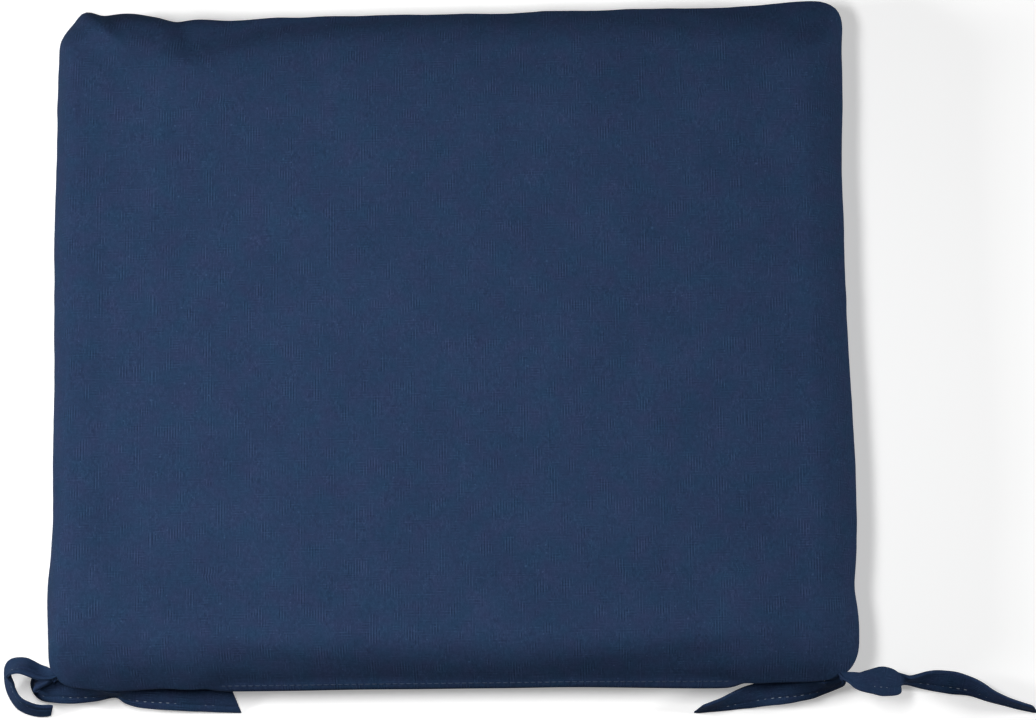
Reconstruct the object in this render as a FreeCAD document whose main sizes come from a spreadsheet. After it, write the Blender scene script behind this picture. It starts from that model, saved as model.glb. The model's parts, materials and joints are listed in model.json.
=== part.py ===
import FreeCAD, Part
import math
import os

import Sketcher
from FreeCAD import Placement, Rotation, Vector

# A knife-edge chair seat pad: two canvas panels sewn together at half height over wadding and foam.
# A flat topstitched lip closes the filling opening at the back, and a tie of folded canvas is caught
# in the seam at each back corner. Millimetres, origin at the middle of the pad's flat underside,
# +X to the sitter's right, +Y to the front edge, +Z up. The ties are at the back, towards -Y.

os.makedirs("parts", exist_ok=True)
doc = FreeCAD.newDocument("ChairSeatPad")

SIZES = {
    "pad_width": 470,
    "pad_depth": 406,
    "pad_height": 50,
    "seam_height": 25,
    "corner_radius": 26,
    "edge_radius": 22,
    "cloth_thickness": 0.8,
    "seam_allowance": 6.5,
    "lip_depth": 4,
    "lip_thickness": 1.6,
    "lip_left": 140,
    "lip_right": 165,
    "layer_gap": 0.1,
    "wadding_thickness": 6,
    "wadding_rise": 1.6,
    "thread_width": 0.6,
    "thread_thickness": 0.4,
    "seam_inset": 2.4,
    "stitch_length": 3,
    "stitch_pitch": 4,
    "stitch_inset": 3.4,
    "tie_width": 16,
    "tie_thickness": 1.6,
    "tie_reach": 4.5,
    "tie_left_angle": 220,
    "tie_right_angle": 305,
    "root_width": 6,
    "root_tail": 3,
    "root_clearance": 0.1,
    "slot_overrun": 1,
    "bartack_inset": 4,
    "bartack_length": 2,
    "bartack_width": 5,
    "tie_stitch_share": 0.2,
    "tie_stitch_clearance": 0.02,
}

# Stations along each tie tail, measured from the point where the tail leaves its root, with z from
# the floor: x, y, z, heading in the floor plane, roll (positive lifts the left edge), and the share
# of the tie's full width that lies open there.
TAILS = {
    "tie_left_outer": [
        (0, 0, 27.2, 170, 0, 0.35),
        (-9, 1, 27.3, 150, 5, 0.9),
        (-19, 7, 27, 150, 15, 1),
        (-26, 6, 20, 205, 50, 1),
        (-29, 1, 13, 258, 72, 1),
        (-28, -7, 9.2, 278, 76, 1),
        (-23, -15, 8.2, 312, 72, 0.95),
        (-13, -19.5, 5.6, 345, 50, 0.75),
        (-5, -20, 3.8, 355, 35, 0.6),
    ],
    "tie_left_inner": [
        (-1, -0.5, 23, 285, 0, 0.3),
        (-8, -5, 21, 300, 8, 1),
        (-3, -10, 18.5, 335, 22, 1),
        (7, -11.5, 16.5, 0, 45, 1),
        (20, -11, 15.5, 1, 62, 1),
        (35, -11, 14.5, 0, 84, 1),
        (47, -13, 14, 358, 52, 1),
        (64, -14.5, 11.5, 356, 30, 1),
        (84, -15, 7, 356, 22, 1),
        (105, -16, 2.4, 357, 10, 1),
    ],
    "tie_right_inner": [
        (-1, -0.5, 23, 215, 0, 0.3),
        (-5, -5.5, 15.6, 188, -78, 1),
        (-25, -8, 14, 182, -50, 1),
        (-42, -9.5, 10, 183, -32, 1),
        (-58, -12, 7.2, 191, -50, 1),
        (-71, -15, 8.4, 193, -70, 1),
        (-84, -17.5, 8.4, 191, -84, 1),
    ],
    "tie_right_outer": [
        (0, 0, 27.2, 345, 0, 0.35),
        (9, -3.5, 27.2, 348, 0, 0.85),
        (23, -4, 23, 358, 0, 1),
        (31, -3.5, 19, 2, 14, 1),
        (34, -2.7, 16.4, 4, 43, 1),
        (37, -1.5, 13.5, 5, 72, 1),
        (48, -2, 9.6, 356, 58, 1),
        (63, -3.5, 7, 350, 40, 1),
        (76, -6.5, 7.6, 336, 56, 1),
        (87, -12, 8.3, 330, 72, 1),
        (99, -16.5, 8.4, 342, 82, 1),
        (112, -20, 8.4, 344, 86, 1),
    ],
}

# Two heights or directions closer than this are the same.
TOLERANCE = 1e-4

sheet = doc.addObject("Spreadsheet::Sheet", "Sizes")
for row, (alias, value) in enumerate(SIZES.items(), 1):
    sheet.set(f"A{row}", alias)
    sheet.set(f"B{row}", str(value))
    sheet.setAlias(f"B{row}", alias)
doc.recompute()


def size(alias):
    """The value of one cell of the sheet."""
    return float(getattr(sheet, alias))


def new_body(name):
    body = doc.addObject("PartDesign::Body", name)
    body.Label = name
    body.AllowCompound = True
    return body


def attach(feature, body):
    """Lays a sketch or a box on the body's own floor plane."""
    plane = next(part for part in body.Origin.OriginFeatures if part.Role == "XY_Plane")
    feature.AttachmentSupport = (plane, [""])
    feature.MapMode = "FlatFace"


def level_sketch(body, name, height):
    sketch = body.newObject("Sketcher::SketchObject", name)
    attach(sketch, body)
    sketch.setExpression("AttachmentOffset.Base.z", height)
    return sketch


def bind(sketch, kind, points, expression):
    """Adds a length or radius constraint that follows an expression."""
    value = float(sketch.evalExpression(expression))
    index = sketch.addConstraint(Sketcher.Constraint(kind, *points, value))
    sketch.setExpression(f"Constraints[{index}]", expression)


def rounded_outline(sketch, inset):
    """Draws the pad's rounded rectangle, an inset inside the cover's outer edge."""
    side = f"Sizes.pad_width / 2 - ({inset})"
    front = f"Sizes.pad_depth / 2 - ({inset})"
    back = f"Sizes.pad_depth / 2 - Sizes.lip_depth - ({inset})"
    radius = f"Sizes.corner_radius - ({inset})"
    x, y_front, y_back, r = (float(sketch.evalExpression(text)) for text in (side, front, back, radius))
    centres = [(x - r, r - y_back), (x - r, y_front - r), (r - x, y_front - r), (r - x, r - y_back)]
    arcs = []
    for quarter, (cx, cy) in enumerate(centres):
        start = (quarter - 1) * math.pi / 2
        circle = Part.Circle(Vector(cx, cy, 0), Vector(0, 0, 1), r)
        arcs.append(sketch.addGeometry(Part.ArcOfCircle(circle, start, start + math.pi / 2)))
    lines = []
    for arc, following in zip(arcs, arcs[1:] + arcs[:1]):
        segment = Part.LineSegment(sketch.getPoint(arc, 2), sketch.getPoint(following, 1))
        line = sketch.addGeometry(segment)
        sketch.addConstraint(Sketcher.Constraint("Tangent", arc, 2, line, 1))
        sketch.addConstraint(Sketcher.Constraint("Tangent", line, 2, following, 1))
        lines.append(line)
    right_line, front_line, left_line, back_line = lines
    for line, direction in zip(lines, ("Vertical", "Horizontal") * 2):
        sketch.addConstraint(Sketcher.Constraint(direction, line))
    for arc in arcs[1:]:
        sketch.addConstraint(Sketcher.Constraint("Equal", arcs[0], arc))
    bind(sketch, "Radius", (arcs[0],), radius)
    bind(sketch, "DistanceX", (-1, 1, right_line, 1), side)
    bind(sketch, "DistanceX", (left_line, 1, -1, 1), side)
    bind(sketch, "DistanceY", (-1, 1, front_line, 1), front)
    bind(sketch, "DistanceY", (back_line, 1, -1, 1), back)


def pad(body, name, sketch, length, downward=False):
    feature = body.newObject("PartDesign::Pad", name)
    feature.Profile = sketch
    feature.setExpression("Length", length)
    feature.Reversed = downward
    doc.recompute()
    return feature


def round_edges(body, name, feature, z, radius):
    """Fillets every edge that lies at height z."""
    edges = [
        f"Edge{number}"
        for number, edge in enumerate(feature.Shape.Edges, 1)
        if all(abs(vertex.Z - z) < TOLERANCE for vertex in edge.Vertexes)
    ]
    fillet = body.newObject("PartDesign::Fillet", name)
    fillet.Base = (feature, edges)
    fillet.setExpression("Radius", radius)
    doc.recompute()
    return fillet


def hollow(body, name, feature, z, wall):
    """Hollows a half from the face at height z, leaving a wall inside its outer surface."""
    face = next(
        f"Face{number}"
        for number, face in enumerate(feature.Shape.Faces, 1)
        if face.BoundBox.ZLength < TOLERANCE and abs(face.CenterOfMass.z - z) < TOLERANCE
    )
    solid_volume = feature.Shape.Volume
    shell = body.newObject("PartDesign::Thickness", name)
    shell.Base = (feature, [face])
    shell.setExpression("Value", wall)
    shell.Reversed = True
    shell.Join = "Intersection"
    doc.recompute()
    assert shell.Shape.Volume < solid_volume / 2, f"{name} grew outwards"
    return shell


def half_shell(body, inset, rise, wall, downward):
    """One bowl-shaped layer: its rim is a rise from the seam plane, its edge rounded over."""
    sign = "-" if downward else "+"
    rim = f"Sizes.seam_height {sign} ({rise})"
    height = f"Sizes.seam_height - ({rise}) - ({inset})"
    if not downward:
        height = f"Sizes.pad_height - Sizes.seam_height - ({rise}) - ({inset})"
    sketch = level_sketch(body, f"{body.Name}_outline", rim)
    rounded_outline(sketch, inset)
    block = pad(body, f"{body.Name}_block", sketch, height, downward)
    z_rim = float(sketch.evalExpression(rim))
    z_face = z_rim + float(sketch.evalExpression(height)) * (-1 if downward else 1)
    rounded = round_edges(body, f"{body.Name}_edge", block, z_face, f"Sizes.edge_radius - ({inset})")
    return hollow(body, f"{body.Name}_shell", rounded, z_rim, wall)


def box(body, name, sizes, corner, turn=0, cutting=False):
    """Adds or cuts a box whose sizes follow expressions, turned about the vertical at its corner."""
    kind = "PartDesign::SubtractiveBox" if cutting else "PartDesign::AdditiveBox"
    before = body.Tip.Shape.Volume if cutting else 0
    feature = body.newObject(kind, name)
    attach(feature, body)
    feature.AttachmentOffset = Placement(Vector(*corner), Rotation(turn, 0, 0))
    for side, expression in zip(("Length", "Width", "Height"), sizes):
        feature.setExpression(side, expression)
    doc.recompute()
    if cutting:
        assert feature.Shape.Volume < before, f"{name} cuts nothing"
    return feature


def corner_point(tie_side, reach, across=0.0):
    """A point on the line that a tie takes out of its corner, a reach outside the cover's edge."""
    angle = math.radians(size(f"tie_{tie_side}_angle"))
    side = -1 if tie_side == "left" else 1
    centre_x = side * (size("pad_width") / 2 - size("corner_radius"))
    centre_y = size("corner_radius") + size("lip_depth") - size("pad_depth") / 2
    radius = size("corner_radius") + reach
    x = centre_x + radius * math.cos(angle) - across * math.sin(angle)
    y = centre_y + radius * math.sin(angle) + across * math.cos(angle)
    return x, y


def panel(name, downward):
    """A cover panel: bowl, turned-in seam allowance, half of the closing lip, and two tie slots."""
    body = new_body(name)
    half_shell(body, "0", "0", "Sizes.cloth_thickness", downward)
    allowance = level_sketch(body, f"{name}_allowance_ring", "Sizes.seam_height")
    rounded_outline(allowance, "Sizes.cloth_thickness / 2")
    rounded_outline(allowance, "Sizes.seam_allowance")
    pad(body, f"{name}_allowance", allowance, "Sizes.cloth_thickness", downward)
    lip_base = size("seam_height") - (size("lip_thickness") if downward else 0)
    lip_sizes = (
        "Sizes.lip_left + Sizes.lip_right",
        "Sizes.lip_depth + Sizes.cloth_thickness / 2",
        "Sizes.lip_thickness",
    )
    box(body, f"{name}_lip", lip_sizes, (-size("lip_left"), -size("pad_depth") / 2, lip_base))
    gap = size("root_clearance")
    slot_depth = size("tie_thickness") / 2 + gap
    slot_base = size("seam_height") - (slot_depth if downward else 0)
    slot_sizes = (
        "Sizes.seam_allowance + Sizes.root_clearance + Sizes.slot_overrun",
        "Sizes.root_width + 2 * Sizes.root_clearance",
        "Sizes.tie_thickness / 2 + Sizes.root_clearance",
    )
    for tie_side in ("left", "right"):
        inner_end = -size("seam_allowance") - gap
        x, y = corner_point(tie_side, inner_end, -size("root_width") / 2 - gap)
        turn = size(f"tie_{tie_side}_angle")
        box(body, f"{name}_{tie_side}_slot", slot_sizes, (x, y, slot_base), turn, cutting=True)
    return body


def wadding(name, downward):
    """A fibre sheet that lines one panel and stops short of the seam allowances."""
    body = new_body(name)
    inset = "Sizes.cloth_thickness + Sizes.layer_gap"
    half_shell(body, inset, "Sizes.wadding_rise", "Sizes.wadding_thickness", downward)
    return body


def foam_core():
    """The foam slab inside the wadding, with all its edges rounded."""
    body = new_body("foam_core")
    inset = "(Sizes.cloth_thickness + Sizes.wadding_thickness + 2 * Sizes.layer_gap)"
    outline = level_sketch(body, "foam_outline", inset)
    rounded_outline(outline, inset)
    block = pad(body, "foam_block", outline, f"Sizes.pad_height - 2 * {inset}")
    lowest, highest = block.Shape.BoundBox.ZMin, block.Shape.BoundBox.ZMax
    radius = f"Sizes.edge_radius - {inset}"
    top = round_edges(body, "foam_top_edge", block, highest, radius)
    round_edges(body, "foam_bottom_edge", top, lowest, radius)
    return body


def seam_thread():
    """Needle and bobbin threads along the seam, on both faces of the allowances, open at the back."""
    body = new_body("seam_thread")
    heights = {
        "needle": "Sizes.seam_height + Sizes.cloth_thickness",
        "bobbin": "Sizes.seam_height - Sizes.cloth_thickness - Sizes.thread_thickness",
    }
    for thread, height in heights.items():
        ring = level_sketch(body, f"{thread}_ring", height)
        rounded_outline(ring, "Sizes.seam_inset")
        rounded_outline(ring, "Sizes.seam_inset + Sizes.thread_width")
        pad(body, f"{thread}_thread", ring, "Sizes.thread_thickness")
    opening_sizes = (
        "Sizes.lip_left + Sizes.lip_right",
        "Sizes.corner_radius",
        "Sizes.pad_height",
    )
    opening_corner = (-size("lip_left"), -size("pad_depth") / 2, 0)
    box(body, "seam_opening", opening_sizes, opening_corner, cutting=True)
    return body


def closure_stitching():
    """The topstitches that close the lip, one row on each of its faces."""
    body = new_body("closure_stitching")
    stitch_sizes = ("Sizes.stitch_length", "Sizes.thread_width", "Sizes.thread_thickness")
    y = -size("pad_depth") / 2 + size("stitch_inset") - size("thread_width") / 2
    top = size("seam_height") + size("lip_thickness")
    bottom = size("seam_height") - size("lip_thickness") - size("thread_thickness")
    run = size("lip_left") + size("lip_right")
    count = int(run // size("stitch_pitch"))
    margin = (run - (count - 1) * size("stitch_pitch") - size("stitch_length")) / 2
    stitches = [
        box(body, f"{face}_stitch", stitch_sizes, (margin - size("lip_left"), y, z))
        for face, z in (("upper", top), ("lower", bottom))
    ]
    row = body.newObject("PartDesign::LinearPattern", "stitch_row")
    row.Originals = stitches
    x_axis = next(part for part in body.Origin.OriginFeatures if part.Role == "X_Axis")
    row.Direction = (x_axis, [""])
    row.Mode = "Spacing"
    row.setExpression("Offset", "Sizes.stitch_pitch")
    row.Occurrences = count
    body.Tip = row
    doc.recompute()
    assert len(row.Shape.Solids) == 2 * count, "stitches are missing from the closure"
    return body


def tie_root(tie_side):
    """The gathered middle of a tie, caught between the panels and standing out of the corner."""
    body = new_body(f"tie_{tie_side}_root")
    sizes = (
        "Sizes.seam_allowance + Sizes.tie_reach + Sizes.root_tail",
        "Sizes.root_width",
        "Sizes.tie_thickness",
    )
    x, y = corner_point(tie_side, -size("seam_allowance"), -size("root_width") / 2)
    base = size("seam_height") - size("tie_thickness") / 2
    box(body, f"{body.Name}_strip", sizes, (x, y, base), size(f"tie_{tie_side}_angle"))
    return body


def tie_bartack(tie_side):
    """Back-tacked stitches over and under a tie's root, inside the cover."""
    body = new_body(f"tie_{tie_side}_bartack")
    sizes = ("Sizes.bartack_length", "Sizes.bartack_width", "Sizes.thread_thickness")
    reach = -size("bartack_inset") - size("bartack_length")
    x, y = corner_point(tie_side, reach, -size("bartack_width") / 2)
    half_tie = size("tie_thickness") / 2
    upper = size("seam_height") + half_tie
    lower = size("seam_height") - half_tie - size("thread_thickness")
    for face, z in (("upper", upper), ("lower", lower)):
        box(body, f"{body.Name}_{face}", sizes, (x, y, z), size(f"tie_{tie_side}_angle"))
    return body


# Turns a sketch so that its X runs across a strip, its Y out of the strip's face, and its normal
# along the strip.
ACROSS = Rotation(Vector(0, 1, 0), Vector(0, 0, 1), Vector(1, 0, 0), "XYZ")


def section(body, name, centre, turn, width, thickness):
    """A rectangle across a strip, centred on its station."""
    sketch = body.newObject("Sketcher::SketchObject", name)
    attach(sketch, body)
    sketch.AttachmentOffset = Placement(centre, turn * ACROSS)
    half_width = float(sketch.evalExpression(width)) / 2
    half_depth = float(sketch.evalExpression(thickness)) / 2
    corners = [
        Vector(side * half_width, face * half_depth, 0)
        for side, face in ((-1, -1), (1, -1), (1, 1), (-1, 1))
    ]
    for start, end in zip(corners, corners[1:] + corners[:1]):
        sketch.addGeometry(Part.LineSegment(start, end))
    for line, following in zip((0, 1, 2, 3), (1, 2, 3, 0)):
        sketch.addConstraint(Sketcher.Constraint("Coincident", line, 2, following, 1))
    for line, direction in zip((0, 1, 2, 3), ("Horizontal", "Vertical") * 2):
        sketch.addConstraint(Sketcher.Constraint(direction, line))
    sketch.addConstraint(Sketcher.Constraint("Symmetric", 0, 1, 2, 1, -1, 1))
    bind(sketch, "DistanceX", (0, 1, 0, 2), width)
    bind(sketch, "DistanceY", (1, 1, 1, 2), thickness)
    return sketch


def loft(body, name, sections):
    feature = body.newObject("PartDesign::AdditiveLoft", name)
    feature.Profile = sections[0]
    feature.Sections = sections[1:]
    feature.Ruled = True
    doc.recompute()
    return feature


def tie_tail(name):
    """A tail of a tie: a limp folded strip that follows its stations."""
    body = new_body(name)
    root_x, root_y = corner_point(name.split("_")[1], size("tie_reach"))
    sections = []
    for number, (x, y, z, heading, roll, share) in enumerate(TAILS[name]):
        centre = Vector(root_x + x, root_y + y, z)
        width = f"Sizes.tie_width * {share}"
        turn = Rotation(heading, 0, roll)
        sections.append(section(body, f"{name}_{number}", centre, turn, width, "Sizes.tie_thickness"))
    loft(body, f"{name}_strip", sections)
    return body


def tie_stitching(name):
    """The topstitch threads along a tail's open stretch, on both faces and off its middle line."""
    body = new_body(f"{name}_stitching")
    root_x, root_y = corner_point(name.split("_")[1], size("tie_reach"))
    lift = (size("tie_thickness") + size("thread_thickness")) / 2 + size("tie_stitch_clearance")
    for face, side in (("upper", 1), ("lower", -1)):
        sections = []
        for number, (x, y, z, heading, roll, share) in enumerate(TAILS[name][1:], 1):
            turn = Rotation(heading, 0, roll)
            shift = size("tie_stitch_share") * size("tie_width") * share
            across = turn.multVec(Vector(0, shift, side * lift))
            centre = Vector(root_x + x, root_y + y, z) + across
            label = f"{name}_{face}_{number}"
            width = f"Sizes.thread_width * {share}"
            sections.append(section(body, label, centre, turn, width, "Sizes.thread_thickness"))
        loft(body, f"{name}_{face}_thread", sections)
    return body


bodies = [
    panel("top_panel", downward=False),
    panel("bottom_panel", downward=True),
    wadding("top_wadding", downward=False),
    wadding("bottom_wadding", downward=True),
    foam_core(),
    seam_thread(),
    closure_stitching(),
]
for tie_side in ("left", "right"):
    bodies.append(tie_root(tie_side))
    bodies.append(tie_bartack(tie_side))
for name in TAILS:
    bodies.append(tie_tail(name))
    bodies.append(tie_stitching(name))
doc.recompute()

for item in doc.Objects:
    failed = {"Invalid", "Error"} & set(item.State)
    assert not failed, f"{item.Name} is {failed}"
for body in bodies:
    assert not body.Shape.isNull() and body.Shape.isValid(), f"{body.Label} has no valid shape"
for body in bodies:
    body.Shape.exportStep(f"parts/{body.Label}.step")
    bounds = body.Shape.BoundBox
    print(
        f"{body.Label:30} {len(body.Shape.Solids):4} solids {body.Shape.Volume:12.1f} mm3 "
        f"z {bounds.ZMin:6.2f} to {bounds.ZMax:6.2f}"
    )
for tie_side in ("left", "right"):
    x, y = corner_point(tie_side, size("tie_reach"))
    print(f"{tie_side} tie turns about x {x:.2f}, y {y:.2f}")
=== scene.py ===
import json
import math

import bpy
import numpy as np
from mathutils import Matrix, Vector, noise


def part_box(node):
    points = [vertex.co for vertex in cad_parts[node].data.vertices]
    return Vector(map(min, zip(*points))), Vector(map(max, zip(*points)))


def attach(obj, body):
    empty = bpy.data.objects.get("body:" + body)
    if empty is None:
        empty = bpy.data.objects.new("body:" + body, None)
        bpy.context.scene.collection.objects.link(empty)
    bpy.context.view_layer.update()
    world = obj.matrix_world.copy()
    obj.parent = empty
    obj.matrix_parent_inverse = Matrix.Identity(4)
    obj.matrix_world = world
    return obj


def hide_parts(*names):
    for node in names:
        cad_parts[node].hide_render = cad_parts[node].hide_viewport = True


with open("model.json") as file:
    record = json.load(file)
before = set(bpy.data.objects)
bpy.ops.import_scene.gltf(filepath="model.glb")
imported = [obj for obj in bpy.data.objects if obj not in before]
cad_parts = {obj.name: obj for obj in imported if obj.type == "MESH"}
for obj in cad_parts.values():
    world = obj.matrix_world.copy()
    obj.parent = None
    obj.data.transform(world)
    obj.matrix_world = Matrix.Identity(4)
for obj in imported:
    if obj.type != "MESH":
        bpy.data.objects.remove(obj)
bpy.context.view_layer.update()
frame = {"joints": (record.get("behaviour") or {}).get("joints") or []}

# A knife-edge chair seat pad in navy slub canvas, with a topstitched closing lip along its back edge
# and a canvas tie at each back corner. Lengths are millimetres in the row frame, unless a comment says
# metres, and MM turns them into Blender's metres.
MM = 0.001

COVER_LOW = [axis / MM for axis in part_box("bottom_panel")[0]]
COVER_HIGH = [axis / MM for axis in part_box("top_panel")[1]]
HALF_WIDTH = COVER_HIGH[0]
FRONT = COVER_HIGH[1]
LIP_EDGE = COVER_LOW[1]
PAD_HEIGHT = COVER_HIGH[2]
SEAM_HEIGHT = PAD_HEIGHT / 2
LIP_DEPTH = 4.0
BACK = LIP_EDGE + LIP_DEPTH
MIDDLE_Y = (FRONT + BACK) / 2
HALF_DEPTH = (FRONT - BACK) / 2
PIVOTS = {joint["child"]: [axis / MM for axis in joint["pos_m"]] for joint in frame["joints"]}

# ---------------------------------------------------------------------------------------------
# Small helpers

# How far apart two seeds of ripple are read from the same noise, along x, y and z.
SEED_STEPS = (17.3, 5.1, 9.7)


def ease(value, start, end):
    """0 before start, 1 after end, and a smooth rise between them."""
    share = np.clip((np.asarray(value, float) - start) / (end - start), 0, 1)
    return share * share * (3 - 2 * share)


def bell(value, centre, reach):
    """1 at the centre, falling to 0.37 at one reach from it and to almost 0 at two."""
    return np.exp(-(((np.asarray(value, float) - centre) / reach) ** 2))


def ripple(points, scale, seed):
    """Smooth noise from -1 to 1 at each point, with features about one scale across."""
    shift = Vector([seed * step for step in SEED_STEPS])
    return np.array([noise.noise(Vector(point) / scale + shift) for point in points])


def along_line(distances, aside=0.0):
    """Points at those distances along a straight line, where ripple can be read."""
    count = len(distances)
    return np.column_stack([distances, np.full(count, aside), np.zeros(count)])


def mesh_object(name, points, faces, material):
    """A smooth-shaded object in the scene, from points in millimetres."""
    mesh = bpy.data.meshes.new(name)
    mesh.from_pydata([Vector(point) * MM for point in points], [], faces)
    mesh.validate()
    mesh.materials.append(material)
    mesh.polygons.foreach_set("use_smooth", [True] * len(mesh.polygons))
    made = bpy.data.objects.new(name, mesh)
    bpy.context.scene.collection.objects.link(made)
    return made


def set_weave_map(piece, coordinates):
    """Gives each face corner its place on the flat cloth, in metres, as the UV map named weave."""
    layer = piece.data.uv_layers.new(name="weave")
    layer.data.foreach_set("uv", (np.asarray(coordinates, float) * MM).ravel())


def subdivide(piece):
    """Replaces a piece's mesh by its subdivision surface."""
    modifier = piece.modifiers.new("subdivision", "SUBSURF")
    modifier.levels = 1
    modifier.render_levels = 1
    modifier.uv_smooth = "NONE"
    graph = bpy.context.evaluated_depsgraph_get()
    smooth = bpy.data.meshes.new_from_object(piece.evaluated_get(graph))
    piece.modifiers.clear()
    piece.data = smooth


def tube_faces(rows, around, base=0):
    """Faces of a closed tube of points: its wall, row by row, and then its two ends."""
    faces = []
    for row in range(rows):
        near = base + row * around
        far = near + around
        for step in range(around):
            following = (step + 1) % around
            faces.append([near + step, near + following, far + following, far + step])
    faces.append([base + step for step in reversed(range(around))])
    faces.append([base + rows * around + step for step in range(around)])
    return faces


# ---------------------------------------------------------------------------------------------
# Materials


class Shader:
    """A short way to build one node material."""

    def __init__(self, name):
        self.material = bpy.data.materials.new(name)
        self.material.use_nodes = True
        self.nodes = self.material.node_tree.nodes
        self.links = self.material.node_tree.links
        self.surface = self.nodes["Principled BSDF"]

    def node(self, kind, **settings):
        made = self.nodes.new(kind)
        for name, value in settings.items():
            setattr(made, name, value)
        return made

    def feed(self, socket, value):
        """Links a value that is another node's output, and sets any other."""
        if isinstance(value, bpy.types.NodeSocket):
            self.links.new(value, socket)
        else:
            socket.default_value = value

    def math(self, operation, *values):
        made = self.node("ShaderNodeMath", operation=operation)
        for socket, value in zip(made.inputs, values):
            self.feed(socket, value)
        return made.outputs[0]

    def scaled(self, vector, factors):
        made = self.node("ShaderNodeVectorMath", operation="MULTIPLY")
        self.feed(made.inputs[0], vector)
        made.inputs[1].default_value = factors
        return made.outputs[0]

    def joined(self, x, y, z):
        made = self.node("ShaderNodeCombineXYZ")
        for socket, value in zip(made.inputs, (x, y, z)):
            self.feed(socket, value)
        return made.outputs[0]

    def cloud(self, vector, detail=2.0):
        """Smooth noise from 0 to 1, about 0.5."""
        made = self.node("ShaderNodeTexNoise")
        self.feed(made.inputs["Vector"], vector)
        made.inputs["Scale"].default_value = 1.0
        made.inputs["Detail"].default_value = detail
        made.inputs["Roughness"].default_value = 0.5
        return made.outputs["Fac"]

    def remap(self, value, from_low, from_high, to_low, to_high):
        made = self.node("ShaderNodeMapRange", clamp=True)
        for socket, number in zip(made.inputs, (value, from_low, from_high, to_low, to_high)):
            self.feed(socket, number)
        return made.outputs[0]

    def mix(self, share, first, second):
        made = self.node("ShaderNodeMix", data_type="RGBA")
        self.feed(made.inputs[0], share)
        self.feed(made.inputs[6], first)
        self.feed(made.inputs[7], second)
        return made.outputs[2]

    def tinted(self, colour, tint):
        made = self.node("ShaderNodeMix", data_type="RGBA", blend_type="MULTIPLY")
        made.inputs[0].default_value = 1.0
        self.feed(made.inputs[6], colour)
        self.feed(made.inputs[7], tint)
        return made.outputs[2]

    def bump(self, height, distance, strength, below=None):
        made = self.node("ShaderNodeBump")
        made.inputs["Distance"].default_value = distance
        made.inputs["Strength"].default_value = strength
        self.feed(made.inputs["Height"], height)
        if below is not None:
            self.feed(made.inputs["Normal"], below)
        return made.outputs[0]


# The yarn's width, in metres.
YARN = 0.8 * MM
# Where the noise of a set of yarns is read: the step from yarn to yarn, the step for each yarn width
# along a yarn, and a layer of its own for each set.
YARN_STEP = 7.31
TONE_DRIFT = 0.42
WARP_LAYER = 3.5
WEFT_LAYER = 11.5
# Features per metre of cloth, across the warp and along it.
TONE_PATCHES = (95, 60, 1)
WARP_RIB_PATCHES = (125, 85, 1)
WEFT_RIB_PATCHES = (110, 190, 1)
SHADE_PATCHES = (24, 24, 1)
DYE_PATCHES = (75, 75, 1)
FIBRES = (2600, 2600, 1)
FLECKS = (420, 420, 1)
# How much the painted highlight and shade of each set's ribs add to the tone, and the tints of the dye's
# patches.
WARP_RIB_SHADE = 0.5
WEFT_RIB_SHADE = 0.22
GREENISH = (0.86, 1.04, 1.0, 1)
REDDISH = (1.16, 0.96, 1.0, 1)
# Heights of the relief, in metres.
YARN_RELIEF = 0.10 * MM
SLUB_RELIEF = 0.2 * MM


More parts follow.
